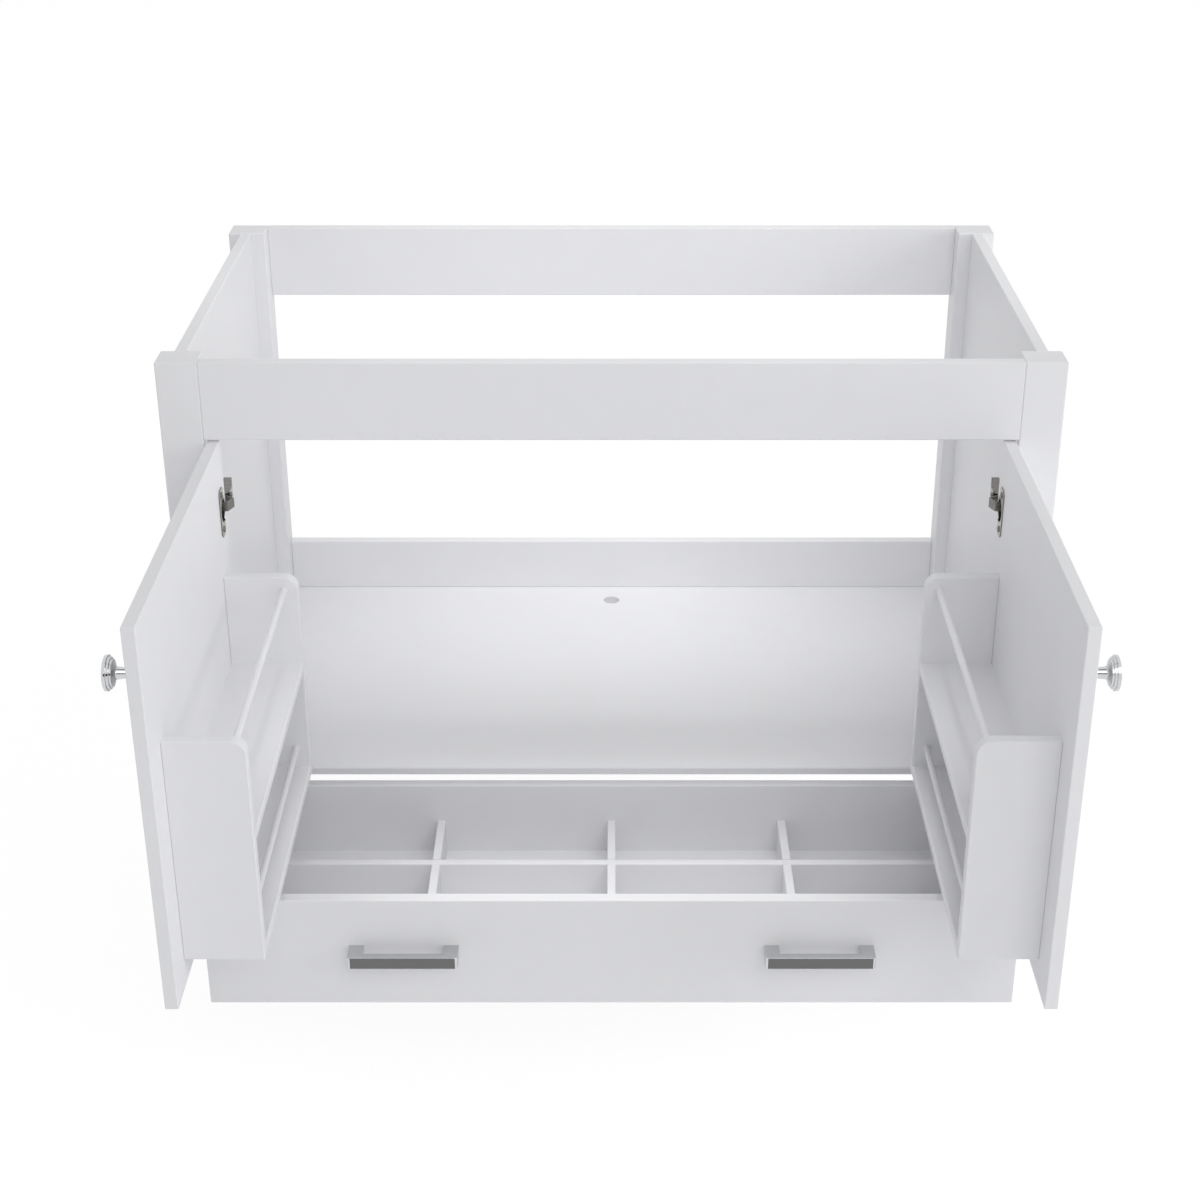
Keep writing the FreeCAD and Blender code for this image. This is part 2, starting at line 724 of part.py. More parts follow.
def long_divider(x):
    """Lengthwise divider, slotted from above for the crosswise one."""
    top = FLOOR_TOP + DIVIDER_H
    blank = box(x - DIVIDER_T / 2, x + DIVIDER_T / 2, INNER_FACE, BOX_BACK - BOX_T,
                FLOOR_TOP, top)
    blank = blank.makeChamfer(EASE, at_place(edges_along(blank, REAR), z=top))
    slot = box(x - DIVIDER_T, x + DIVIDER_T, CROSS_Y - SLOT_W / 2, CROSS_Y + SLOT_W / 2,
               top - DIVIDER_H / 2, top)
    return blank.cut(slot)


def cross_divider():
    """Crosswise divider, slotted from below over the lengthwise ones."""
    top = FLOOR_TOP + DIVIDER_H
    blank = box(-BOX_IN, BOX_IN, CROSS_Y - DIVIDER_T / 2, CROSS_Y + DIVIDER_T / 2,
                FLOOR_TOP, top)
    blank = blank.makeChamfer(EASE, at_place(edges_along(blank, RIGHT), z=top))
    for x in (-DIVIDER_X, 0.0, DIVIDER_X):
        slot = box(x - SLOT_W / 2, x + SLOT_W / 2, CROSS_Y - DIVIDER_T, CROSS_Y + DIVIDER_T,
                   FLOOR_TOP, top - DIVIDER_H / 2)
        blank = blank.cut(slot)
    return blank


# ---- pulls -----------------------------------------------------------------------

def pull(x):
    """Square bow pull: a bar on two legs, with rounded outer corners."""
    half = (PULL_SPACING + PULL_LEG) / 2
    z0, z1 = PULL_Z - PULL_H / 2, PULL_Z + PULL_H / 2
    bow = box(x - half, x + half, FRONT - PULL_REACH, FRONT, z0, z1)
    corners = at_place(edges_along(bow, UP), y=FRONT - PULL_REACH)
    bow = bow.makeFillet(3.0, corners)
    inner = half - PULL_LEG
    gap = box(x - inner, x + inner, FRONT - PULL_REACH + PULL_BAR_T, FRONT, z0, z1)
    gap = gap.makeFillet(1.5, at_place(edges_along(gap, UP), y=FRONT - PULL_REACH + PULL_BAR_T))
    bow = bow.cut(gap)
    return drill(bow, [pull_tap(x, side) for side in (-1, 1)])


def pull_tap(x, side):
    """Tapped hole in a leg of the pull."""
    place = Vector(x + side * PULL_SPACING / 2, FRONT, PULL_Z)
    return facet_bar(place, -REAR, STUD_R, 13.0, SHANK_SIDES)


def pull_places():
    """Centres of the four pull screws on the drawer front's inner face."""
    return [Vector(side * PULL_X + leg * PULL_SPACING / 2, INNER_FACE, PULL_Z)
            for side in (-1, 1) for leg in (-1, 1)]


def pull_screws():
    """Machine screws from inside the drawer front into the pulls."""
    return [pan_screw(place, -REAR, 4.2, 2.2, STUD_R, BOARD + 11.0)[0] for place in pull_places()]


def pull_screw_holes():
    """Their holes through the drawer front."""
    return [facet_bar(place, -REAR, STUD_R + 0.2, BOARD, SHANK_SIDES) for place in pull_places()]


# ---- build -----------------------------------------------------------------------

def build_carcass():
    """Everything that stays still."""
    front_post = drill(post(FRONT), [mirrored(hole) for z in HINGE_HEIGHTS
                                     for _, hole in plate_screws(z)])
    back_post = post(BACK - POST_D)
    for name, shape in (("front_%s_post", front_post), ("back_%s_post", back_post),
                        ("%s_side_panel", side_panel()), ("%s_runner_cleat", cleat())):
        save(name % "right", shape)
        save(name % "left", mirrored(shape))
    for name, span in zip(("front_top_rail", "back_top_rail", "lower_back_rail"), rail_spans()):
        save(name, rail(span))
    save("shelf", shelf())
    plates = [mounting_plate(z) for z in HINGE_HEIGHTS]
    arms = [hinge_arm(z) for z in HINGE_HEIGHTS]
    pins = [knuckle_pin(z) for z in HINGE_HEIGHTS]
    hinge_screws = [screw for z in HINGE_HEIGHTS for screw, _ in plate_screws(z) + arm_screws(z)]
    slide_screws = [screw for screw, _ in outer_slide_screws()]
    for name, group in (("hinge_plates", plates), ("hinge_arms", arms), ("hinge_pins", pins),
                        ("hinge_screws", hinge_screws), ("slide_screws", slide_screws)):
        save(name, *[piece for one in group for piece in both_sides(one)])
    save("right_slide_outer", outer_member())
    save("left_slide_outer", mirrored(outer_member()))


def build_doors():
    """Both doors, open, with their racks, knobs and hinge parts."""
    left_x = HINGE_EDGE + RACK_FROM
    upper, lower = rack_shelf_tops()
    groups = {
        "door": [door_board()],
        "knob": [knob()],
        "knob_stud": [knob_stud()],
        "hinge_cups": [hinge_cup(z) for z in HINGE_HEIGHTS],
        "cup_screws": [screw for z in HINGE_HEIGHTS for screw, _ in cup_screws(z)],
        "rack_hinge_side": [rack_side(left_x)],
        "rack_free_side": [rack_side(left_x + RACK_LENGTH - RACK_BOARD)],
        "rack_upper_shelf": [rack_shelf(upper)],
        "rack_lower_shelf": [rack_shelf(lower)],
        "rack_rods": [rod for rod, _ in guard_rods()],
    }
    for name, group in groups.items():
        placed = [opened(shape) for shape in group]
        save("left_" + name, *placed)
        save("right_" + name, *[mirrored(shape) for shape in placed])
    links = [hinge_link(z) for z in HINGE_HEIGHTS]
    save("left_hinge_links", *links)
    save("right_hinge_links", *[mirrored(link) for link in links])


def build_drawer():
    """The drawer, pulled out, with its pulls and the moving slide members."""
    out = -SLIDE_TRAVEL
    pieces = {
        "drawer_front": [drawer_front()],
        "drawer_back": [drawer_back()],
        "drawer_floor": [drawer_floor()],
        "drawer_cross_divider": [cross_divider()],
        "drawer_middle_divider": [long_divider(0.0)],
        "drawer_left_divider": [long_divider(-DIVIDER_X)],
        "drawer_right_divider": [long_divider(DIVIDER_X)],
        "drawer_right_side": [drawer_side()],
        "drawer_left_side": [mirrored(drawer_side())],
        "right_slide_inner": [inner_member()],
        "left_slide_inner": [mirrored(inner_member())],
        "left_pull": [pull(-PULL_X)],
        "right_pull": [pull(PULL_X)],
        "pull_screws": pull_screws(),
        "drawer_slide_screws": [piece for screw, _ in inner_slide_screws()
                                for piece in both_sides(screw)],
    }
    for name, group in pieces.items():
        save(name, *[moved_back(shape, out) for shape in group])
    middle = moved_back(middle_member(), out / 2)
    save("right_slide_middle", middle)
    save("left_slide_middle", mirrored(middle))


build_carcass()
build_doors()
build_drawer()
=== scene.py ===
"""Look of the sink base cabinet: satin white boards, chrome knobs and pulls, nickel hinges."""

import math

import bpy
import numpy as np
from bpy.props import FloatProperty, FloatVectorProperty, IntProperty, PointerProperty
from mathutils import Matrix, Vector


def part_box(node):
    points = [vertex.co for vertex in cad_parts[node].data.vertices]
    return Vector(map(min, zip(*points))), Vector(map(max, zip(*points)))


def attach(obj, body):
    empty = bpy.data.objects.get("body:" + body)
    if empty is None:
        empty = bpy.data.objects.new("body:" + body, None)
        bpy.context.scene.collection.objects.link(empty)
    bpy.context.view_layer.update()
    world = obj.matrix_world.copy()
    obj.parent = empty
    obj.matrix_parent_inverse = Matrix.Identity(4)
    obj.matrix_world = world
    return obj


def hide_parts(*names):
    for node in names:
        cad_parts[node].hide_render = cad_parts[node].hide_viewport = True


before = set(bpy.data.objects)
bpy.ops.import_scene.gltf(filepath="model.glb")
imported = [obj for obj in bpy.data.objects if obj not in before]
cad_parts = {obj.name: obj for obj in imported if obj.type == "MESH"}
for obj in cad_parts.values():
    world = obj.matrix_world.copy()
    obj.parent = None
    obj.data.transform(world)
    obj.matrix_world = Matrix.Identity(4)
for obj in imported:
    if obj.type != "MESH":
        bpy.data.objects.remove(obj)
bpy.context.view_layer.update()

bl_info = {
    "name": "Sink base cabinet finishes",
    "version": (1, 0, 0),
    "blender": (4, 5, 0),
    "location": "View3D > Sidebar > Cabinet",
    "description": "Turned knobs, bow pulls, driven screws, ball rows and painted board finishes",
    "category": "Object",
}

MM = 0.001

# sockets of the Mix node when it mixes colours
MIX_FACTOR, MIX_A, MIX_B, MIX_RESULT = 0, 6, 7, 2

PAINT_TONES = (0.982, 1.012)        # darkest and lightest cloud in the paint
METAL_TONES = (0.95, 1.03)
METAL_EDGE = 0.25 * MM              # rounding seen on plated edges
HAIRLINE = 0.004 * MM               # height of the hairlines in the plate
PAINTED_REFLECTION_EDGE = 1e5                     # how sharply the painted dark reflection on the pulls' front ends, per metre
PAINTED_REFLECTION_DEPTH = 0.03 * MM              # depth behind the pull's front that the painted dark reflection covers

# names of the nodes that keep their imported mesh, by finish
CARCASS_BOARDS = [
    "front_left_post", "front_right_post", "back_left_post", "back_right_post",
    "left_side_panel", "right_side_panel", "front_top_rail", "back_top_rail",
    "lower_back_rail", "shelf", "left_runner_cleat", "right_runner_cleat",
]
DRAWER_BOARDS = [
    "drawer_front", "drawer_back", "drawer_floor", "drawer_left_side", "drawer_right_side",
    "drawer_cross_divider", "drawer_middle_divider", "drawer_left_divider",
    "drawer_right_divider",
]
DOOR_BOARDS = ["door", "rack_hinge_side", "rack_free_side", "rack_upper_shelf",
               "rack_lower_shelf"]
SIDES = (("left", -1.0), ("right", 1.0))


# ---- node trees written as expressions -------------------------------------------

class Wire:
    """A socket in a node tree. Sums, differences and products of wires add Math nodes."""

    def __init__(self, tree, socket):
        self.tree = tree
        self.socket = socket

    def _math(self, operation, first, second):
        return self.tree.add("ShaderNodeMath", {"operation": operation}, [first, second])

    def __add__(self, other):
        return self._math("ADD", self, other)

    def __radd__(self, other):
        return self._math("ADD", other, self)

    def __sub__(self, other):
        return self._math("SUBTRACT", self, other)

    def __rsub__(self, other):
        return self._math("SUBTRACT", other, self)

    def __mul__(self, other):
        return self._math("MULTIPLY", self, other)

    def __rmul__(self, other):
        return self._math("MULTIPLY", other, self)

    def clamped(self, low, high):
        """The value held between two numbers."""
        return self._math("MINIMUM", self._math("MAXIMUM", self, low), high)


class Finish:
    """A material, or a world, built node by node."""

    def __init__(self, name, world=False):
        self.material = (bpy.data.worlds if world else bpy.data.materials).new(name)
        self.material.use_nodes = True
        self.nodes = self.material.node_tree.nodes
        self.links = self.material.node_tree.links
        self.nodes.clear()
        self.out = self.nodes.new("ShaderNodeOutputWorld" if world else "ShaderNodeOutputMaterial")

    def add(self, kind, settings=None, sockets=None, output=0):
        """A node with its settings made first, then its sockets valued or linked."""
        node = self.nodes.new(kind)
        for key, value in (settings or {}).items():
            setattr(node, key, value)
        pairs = sockets.items() if isinstance(sockets, dict) else enumerate(sockets or [])
        for key, value in pairs:
            self.plug(node.inputs[key], value)
        return Wire(self, node.outputs[output])

    def plug(self, socket, value):
        """Links a wire to a socket, or sets the socket's own value."""
        if isinstance(value, Wire):
            self.links.new(value.socket, socket)
        else:
            socket.default_value = value

    def place(self):
        """Object coordinates, in metres."""
        return self.add("ShaderNodeTexCoord", output="Object")

    def moved(self, seed, steps):
        """Object coordinates shifted by a seed times three steps."""
        shift = tuple(seed * step for step in steps)
        return self.add("ShaderNodeVectorMath", {"operation": "ADD"}, [self.place(), shift])

    def noise(self, where, scale, detail=2.0, roughness=0.5):
        """Cloudy noise from 0 to 1."""
        return self.add("ShaderNodeTexNoise", {"noise_dimensions": "3D"},
                        {"Vector": where, "Scale": scale, "Detail": detail,
                         "Roughness": roughness}, "Fac")

    def blend(self, mask, first, second):
        """Colour that goes from first to second with the mask."""
        return self.add("ShaderNodeMix", {"data_type": "RGBA"},
                        {MIX_FACTOR: mask, MIX_A: first, MIX_B: second}, MIX_RESULT)

    def bump(self, height, distance, strength=1.0, normal=None):
        """Normal tilted by a height in metres."""
        sockets = {"Height": height, "Distance": distance, "Strength": strength}
        if normal is not None:
            sockets["Normal"] = normal
        return self.add("ShaderNodeBump", None, sockets, "Normal")

    def seen_rays(self):
        """1 where a ray comes from the camera, a mirror or clear glass."""
        path = self.nodes.new("ShaderNodeLightPath")
        rays = [Wire(self, path.outputs[name])
                for name in ("Is Camera Ray", "Is Glossy Ray", "Is Transmission Ray")]
        return (rays[0] + rays[1] + rays[2]).clamped(0.0, 1.0)

    def eased(self, radius):
        """Normal that rounds sharp edges over a radius."""
        return self.add("ShaderNodeBevel", {"samples": 4}, {"Radius": radius}, "Normal")

    def end(self, shader):
        """Ends the tree in a shader."""
        self.links.new(shader.socket, self.out.inputs[0])

    def close(self, **sockets):
        """Ends the tree in one Principled shader; names use _ for a space."""
        named = {key.replace("_", " "): value for key, value in sockets.items()}
        self.end(self.add("ShaderNodeBsdfPrincipled", None, named))
        return self.material


def rgba(colour, factor=1.0):
    """Colour as four numbers, made lighter or darker by a factor."""
    return (colour[0] * factor, colour[1] * factor, colour[2] * factor, 1.0)


def painted_board(name, looks, seed):
    """Satin paint rolled on board: faint tone clouds, roller stipple and a fine grain."""
    finish = Finish(name)
    where = finish.moved(seed, (3.1, 1.7, 2.3))
    clouds = finish.noise(where, 5.0, 3.0)
    patches = finish.noise(where, 38.0, 2.0)
    stipple = finish.noise(where, 420.0, 3.0, 0.6)
    fine = finish.noise(where, 1500.0, 1.0)
    # most of the noise lies between 0.32 and 0.70, so this stretches it over 0 to 1
    tone = (clouds * 0.7 + patches * 0.3 - 0.32) * 2.6
    colour = finish.blend(tone.clamped(0.0, 1.0), rgba(looks.paint, PAINT_TONES[0]),
                          rgba(looks.paint, PAINT_TONES[1]))
    sheen = patches * 0.10 + stipple * 0.06 + (looks.paint_roughness - 0.08)
    skin = stipple * 0.7 + fine * 0.3
    normal = finish.bump(skin, looks.stipple_depth)
    return finish.close(Base_Color=colour, Roughness=sheen.clamped(0.2, 0.8), Normal=normal,
                        IOR=1.46)


def plated_metal(name, colour, roughness, brushed, seed, face=None):
    """Plated metal: cloudy lustre, hairlines along the long axis and light fingermarks.

    brushed says how much finer the hairlines are along each axis. face is (colour, y): the
    metal takes that colour, a painted dark reflection, on the flat where Y is no more than y.
    """
    finish = Finish(name)
    where = finish.moved(seed, (2.9, 1.3, 3.7))
    hair = finish.add("ShaderNodeVectorMath", {"operation": "MULTIPLY"}, [where, brushed])
    lines = finish.noise(hair, 60.0, 2.0, 0.6)
    clouds = finish.noise(where, 160.0, 3.0)
    marks = finish.noise(where, 45.0, 4.0, 0.6)
    smear = ((marks - 0.52) * 5.0).clamped(0.0, 1.0)
    tint = finish.blend(clouds, rgba(colour, METAL_TONES[0]), rgba(colour, METAL_TONES[1]))
    # painted dark reflection: the flat front is coloured dark in place of the dark surroundings
    # that chrome mirrors there
    if face:
        depth = finish.add("ShaderNodeSeparateXYZ", None, [finish.place()], "Y")
        front = ((face[1] - depth) * PAINTED_REFLECTION_EDGE + 0.5).clamped(0.0, 1.0)
        tint = finish.blend(front, tint, rgba(face[0]))
    half = roughness * 0.5
    rough = clouds * half + lines * half + smear * 0.05 + half
    normal = finish.bump(lines, HAIRLINE, 0.6, finish.eased(METAL_EDGE))
    return finish.close(Base_Color=tint, Metallic=1.0, Roughness=rough.clamped(0.03, 0.7),
                        Normal=normal)


# ---- surfaces -----------------------------------------------------------------------

def grid_faces(rows, columns, wrap=False):
    """Quads between neighbouring points of a grid stored row by row; wrap closes each row."""
    r = np.arange(rows - 1)
    c = np.arange(columns if wrap else columns - 1)
    i, j = np.meshgrid(r, c, indexing="ij")
    here, beside = i * columns, (j + 1) % columns
    above = here + columns
    quads = np.stack([here + j, here + beside, above + beside, above + j], -1)
    return quads.reshape(-1, 4)


def rounded_profile(points, radii, steps=5):
    """Open polyline with its inner corners rounded.

    Each corner is a quadratic curve from a point on one leg to a point on the next,
    p = (1-t)^2 a + 2 t (1-t) c + t^2 b, where a and b lie the corner's radius away from c.
    """
    points = np.asarray(points, float)
    t = np.linspace(0.0, 1.0, steps)[:, None]
    pieces = [points[:1]]
    for before, corner, after, radius in zip(points[:-2], points[1:-1], points[2:], radii):
        near, far = before - corner, after - corner
        a = corner + near * min(radius / np.linalg.norm(near), 0.45)
        b = corner + far * min(radius / np.linalg.norm(far), 0.45)
        pieces.append((1 - t) ** 2 * a + 2 * t * (1 - t) * corner + t ** 2 * b)
    pieces.append(points[-1:])
    return np.vstack(pieces)


def lathe(profile, turns):
    """Closed turned surface about +Z.

    A profile of (radius, height) is swept round: x = r cos a, y = r sin a, z = h.
    The first and last points close on the axis.
    """
    profile = np.asarray(profile, float)
    angle = np.linspace(0.0, 2 * math.pi, turns, endpoint=False)
    r, h = profile[:, :1], profile[:, 1:]
    ring = np.stack([r * np.cos(angle), r * np.sin(angle), h + 0 * angle], -1)
    low = np.array([[0.0, 0.0, profile[0, 1]]])
    high = np.array([[0.0, 0.0, profile[-1, 1]]])
    points = np.vstack([ring.reshape(-1, 3), low, high])
    quads = grid_faces(len(profile), turns, wrap=True)
    k = np.arange(turns)
    last = (len(profile) - 1) * turns
    bottom = np.stack([(k + 1) % turns, k, k * 0 + len(ring) * turns], -1)
    top = np.stack([last + k, last + (k + 1) % turns, k * 0 + len(ring) * turns + 1], -1)
    return points, [quads, bottom, top]


def placed(points, origin, z_axis, x_axis=None):
    """Points turned so that +Z becomes z_axis, then moved to origin."""
    z = np.asarray(z_axis, float)
    z = z / np.linalg.norm(z)
    if x_axis is None:
        x_axis = (1, 0, 0) if abs(z[0]) < 0.9 else (0, 1, 0)
    x = np.asarray(x_axis, float)
    x = x - z * x.dot(z)
    x = x / np.linalg.norm(x)
    y = np.cross(z, x)
    return points @ np.stack([x, y, z]) + np.asarray(origin, float)


def joined(parts):
    """Several (points, faces) pairs as one."""
    points, faces, base = [], [], 0
    for one_points, one_faces in parts:
        points.append(one_points)
        faces += [block + base for block in one_faces]
        base += len(one_points)
    return np.vstack(points), faces


def placed_object(name, data):
    """New object in the scene for a mesh, lamp or camera."""
    fresh = bpy.data.objects.new(name, data)
    bpy.context.scene.collection.objects.link(fresh)
    return fresh


def make_piece(name, shape, material, body, nodes=(), smooth_angle=35.0):
    """Mesh object from points and face blocks, riding on a body in place of nodes."""
    points, blocks = shape
    faces = sum((block.tolist() for block in blocks), [])
    mesh = bpy.data.meshes.new(name)
    mesh.from_pydata(points.tolist(), [], faces)
    mesh.validate()
    piece = placed_object(name, mesh)
    mesh.materials.append(material)
    mesh.shade_smooth()
    mesh.set_sharp_from_angle(angle=math.radians(smooth_angle))
    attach(piece, body)
    if nodes:
        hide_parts(*nodes)
    return piece


def islands(node):
    """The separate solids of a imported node, as arrays of their corner points."""
    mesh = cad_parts[node].data
    points = np.empty(len(mesh.vertices) * 3)
    mesh.vertices.foreach_get("co", points)
    points = points.reshape(-1, 3)
    edges = np.empty(len(mesh.edges) * 2, int)
    mesh.edges.foreach_get("vertices", edges)
    edges = edges.reshape(-1, 2)
    hundredths = np.round(points / (0.01 * MM)).astype(np.int64)
    _, same = np.unique(hundredths, axis=0, return_inverse=True)
    same = same.ravel()
    label = np.arange(same.max() + 1)
    ends = same[edges]
    while True:
        low = np.minimum(label[ends[:, 0]], label[ends[:, 1]])
        fresh = label.copy()
        np.minimum.at(fresh, ends[:, 0], low)
        np.minimum.at(fresh, ends[:, 1], low)
        fresh = fresh[fresh]
        if (fresh == label).all():
            break
        label = fresh
    groups = label[same]
    return [points[groups == g] for g in np.unique(groups)]


# ---- finishes, made once -------------------------------------------------------------

def finish_named(name, maker):
    """The material of that name, made the first time it is asked for."""
    found = bpy.data.materials.get(name)
    return found if found else maker()


def paint(looks, number):
    """One of the painted board finishes."""
    name = "satin_paint_%d" % number
    return finish_named(name, lambda: painted_board(name, looks, number))


def chrome(looks):
    """Polished chrome of the knobs and pulls."""
    return finish_named("polished_chrome", lambda: plated_metal(
        "polished_chrome", looks.chrome, looks.chrome_roughness, brushed=(1, 1, 1), seed=1))


def chrome_with_painted_reflection(looks, front):
    """Polished chrome with a painted dark reflection on its front face, where Y is no more than
    front.
    """
    return finish_named("chrome_painted_dark_reflection", lambda: plated_metal(
        "chrome_painted_dark_reflection", looks.chrome, looks.chrome_roughness, brushed=(0.4, 4, 4),
        seed=4, face=(looks.painted_reflection_colour, front)))


def nickel(looks):
    """Nickel plate of the hinges."""
    return finish_named("hinge_nickel", lambda: plated_metal(
        "hinge_nickel", looks.nickel, looks.nickel_roughness, brushed=(1, 1, 4), seed=2))


def zinc(looks):
    """Zinc plate of the slides and their screws."""
    return finish_named("slide_zinc", lambda: plated_metal(
        "slide_zinc", looks.zinc, looks.zinc_roughness, brushed=(6, 0.5, 6), seed=3))


def ball_steel(looks):
    """Ground steel of the slides' balls."""
    return finish_named("ball_steel", lambda: plated_metal(
        "ball_steel", looks.steel, looks.steel_roughness, brushed=(1, 1, 1), seed=5))


def dress(nodes, material):
    """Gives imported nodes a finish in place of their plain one."""
    for node in nodes:
        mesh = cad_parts[node].data
        mesh.materials.clear()
        mesh.materials.append(material)


# ---- settings ------------------------------------------------------------------------

class CabinetLooks(bpy.types.PropertyGroup):
    """Colours and surface of the finishes."""

    paint: FloatVectorProperty(
        name="Paint", description="Colour of the painted boards", subtype="COLOR",
        size=3, min=0.0, max=1.0, default=(0.845, 0.845, 0.862))
    paint_roughness: FloatProperty(
        name="Paint roughness", description="Roughness of the satin paint",
        subtype="FACTOR", min=0.0, max=1.0, default=0.46)
    stipple_depth: FloatProperty(
        name="Stipple depth", description="Height of the roller stipple", unit="LENGTH",
        min=0.0, max=0.0002, default=0.00002, precision=6)
    chrome: FloatVectorProperty(
        name="Chrome", description="Colour of the knobs and pulls", subtype="COLOR",
        size=3, min=0.0, max=1.0, default=(0.62, 0.625, 0.635))
    # colour of the painted dark reflection on the pulls' flat front, standing in for mirrored dark
    # surroundings
    painted_reflection_colour: FloatVectorProperty(
        name="Painted dark reflection", description="Colour of the pulls' flat front", subtype="COLOR",
        size=3, min=0.0, max=1.0, default=(0.15, 0.15, 0.153))
    chrome_roughness: FloatProperty(
        name="Chrome roughness", description="Roughness of the knobs and pulls",
        subtype="FACTOR", min=0.0, max=1.0, default=0.09)
    nickel: FloatVectorProperty(
        name="Nickel", description="Colour of the hinges", subtype="COLOR",
        size=3, min=0.0, max=1.0, default=(0.27, 0.258, 0.235))
    nickel_roughness: FloatProperty(
        name="Nickel roughness", description="Roughness of the hinges",
        subtype="FACTOR", min=0.0, max=1.0, default=0.26)
    zinc: FloatVectorProperty(
        name="Zinc", description="Colour of the slides", subtype="COLOR",
        size=3, min=0.0, max=1.0, default=(0.62, 0.63, 0.65))
    zinc_roughness: FloatProperty(
        name="Zinc roughness", description="Roughness of the slides", subtype="FACTOR",
        min=0.0, max=1.0, default=0.3)
    steel: FloatVectorProperty(
        name="Steel", description="Colour of the slides' balls", subtype="COLOR",
        size=3, min=0.0, max=1.0, default=(0.66, 0.66, 0.67))
    steel_roughness: FloatProperty(
        name="Steel roughness", description="Roughness of the slides' balls",
        subtype="FACTOR", min=0.0, max=1.0, default=0.12)


class KnobSizes(bpy.types.PropertyGroup):
    """Sizes of the turned knobs."""

    stem_radius: FloatProperty(
        name="Stem radius", description="Radius of the stem where it meets the door",
        unit="LENGTH", min=0.002, max=0.01, default=0.0043, precision=4)
    neck_radius: FloatProperty(
        name="Neck radius", description="Radius of the stem under the rings",
        unit="LENGTH", min=0.002, max=0.01, default=0.0059, precision=4)
    face_radius: FloatProperty(
        name="Face radius", description="Radius of the front rim",
        unit="LENGTH", min=0.008, max=0.03, default=0.016, precision=4)
    reach: FloatProperty(
        name="Reach", description="Distance from the door to the crown",
        unit="LENGTH", min=0.01, max=0.06, default=0.026, precision=4)
    turns: IntProperty(
        name="Turns", description="Points round the knob", min=24, max=256, default=128)


class PullSizes(bpy.types.PropertyGroup):
    """Sizes of the bow pulls."""

    leg: FloatProperty(
        name="Leg", description="Width of a leg", unit="LENGTH", min=0.005, max=0.03,
        default=0.015, precision=4)
    bar: FloatProperty(
        name="Bar", description="Thickness of the bar", unit="LENGTH", min=0.003, max=0.02,
        default=0.008, precision=4)
    corner: FloatProperty(
        name="Corner", description="Radius of the outer corners", unit="LENGTH", min=0.0005,
        max=0.008, default=0.003, precision=4)
    inner_corner: FloatProperty(
        name="Inner corner", description="Radius of the inner corners", unit="LENGTH",
        min=0.0005, max=0.004, default=0.0015, precision=4)
    edge: FloatProperty(
        name="Edge", description="Rounding of the long edges", unit="LENGTH", min=0.0001,
        max=0.003, default=0.00045, precision=5)


class BallSizes(bpy.types.PropertyGroup):
    """Sizes of the ball rows in the drawer slides."""

    outer_radius: FloatProperty(
        name="Outer ball", description="Radius of the balls in the outer member",
        unit="LENGTH", min=0.0005, max=0.003, default=0.00138, precision=5)
    inner_radius: FloatProperty(
        name="Inner ball", description="Radius of the balls round the inner member",
        unit="LENGTH", min=0.0005, max=0.003, default=0.0016, precision=5)
    outer_rise: FloatProperty(
        name="Outer rise", description="Middle member's edge to its balls' centres",
        unit="LENGTH", min=0.0, max=0.004, default=0.00145, precision=5)
    inner_rise: FloatProperty(
        name="Inner rise", description="Inner member's edge to its balls' centres",
        unit="LENGTH", min=0.0, max=0.004, default=0.0017, precision=5)
    outer_start: FloatProperty(
        name="Outer start", description="Middle member's back end to the first outer ball",
        unit="LENGTH", min=0.0, max=0.2, default=0.066, precision=4)
    inner_start: FloatProperty(
        name="Inner start", description="Middle member's front end to the first inner ball",
        unit="LENGTH", min=0.0, max=0.2, default=0.006, precision=4)
    pitch: FloatProperty(
        name="Pitch", description="Ball to ball", unit="LENGTH", min=0.003, max=0.02,
        default=0.005, precision=4)
    count: IntProperty(
        name="Count", description="Balls in a row", min=1, max=40, default=12)


class StageSettings(bpy.types.PropertyGroup):
    """Light, floor and camera."""

    ambient: FloatProperty(name="Ambient", description="Strength of the soft light all round",
                           min=0.0, max=3.0, default=0.61)
    key: FloatProperty(name="Key", description="Power of the soft box in front",
                       unit="POWER", min=0.0, max=2000.0, default=28.0)
    side: FloatProperty(name="Side", description="Power of the right-hand soft box",
                        unit="POWER", min=0.0, max=2000.0, default=50.0)
    bay_fill: FloatProperty(name="Bay fill", description="Power of the beam into the sink bay",
                            unit="POWER", min=0.0, max=20.0, default=0.45)
    drawer_fill: FloatProperty(name="Drawer fill",
                               description="Power of the beam into the drawer",
                               unit="POWER", min=0.0, max=20.0, default=0.18)
    floor: FloatProperty(name="Floor shadow", description="Share of the floor that takes shadow",
                         subtype="FACTOR", min=0.0, max=1.0, default=0.2)


# ---- pieces --------------------------------------------------------------------------

class CABINET_OT_boards(bpy.types.Operator):
    """Paint every board, door, rack and drawer piece"""

    bl_idname = "cabinet.boards"
    bl_label = "Painted boards"

    def execute(self, context):
        looks = context.scene.cabinet_looks
        dress(CARCASS_BOARDS, paint(looks, 1))
        dress(DRAWER_BOARDS, paint(looks, 2))
        for side, _ in SIDES:
            dress(["%s_%s" % (side, part) for part in DOOR_BOARDS], paint(looks, 3))
            dress([side + "_rack_rods"], paint(looks, 4))
        return {"FINISHED"}


class CABINET_OT_metal(bpy.types.Operator):
    """Plate the hinges and slides"""

    bl_idname = "cabinet.metal"
    bl_label = "Plated hardware"

    def execute(self, context):
        looks = context.scene.cabinet_looks
        dress(["hinge_arms", "hinge_plates", "hinge_pins"], nickel(looks))
        for side, _ in SIDES:
            dress([side + "_hinge_cups", side + "_hinge_links"], nickel(looks))
            dress([side + part for part in ("_slide_outer", "_slide_middle", "_slide_inner",
                                            "_knob_stud")], zinc(looks))
        return {"FINISHED"}


CROWN_RISE = 2.0                # millimetres from the knob's rim to the top of its crown


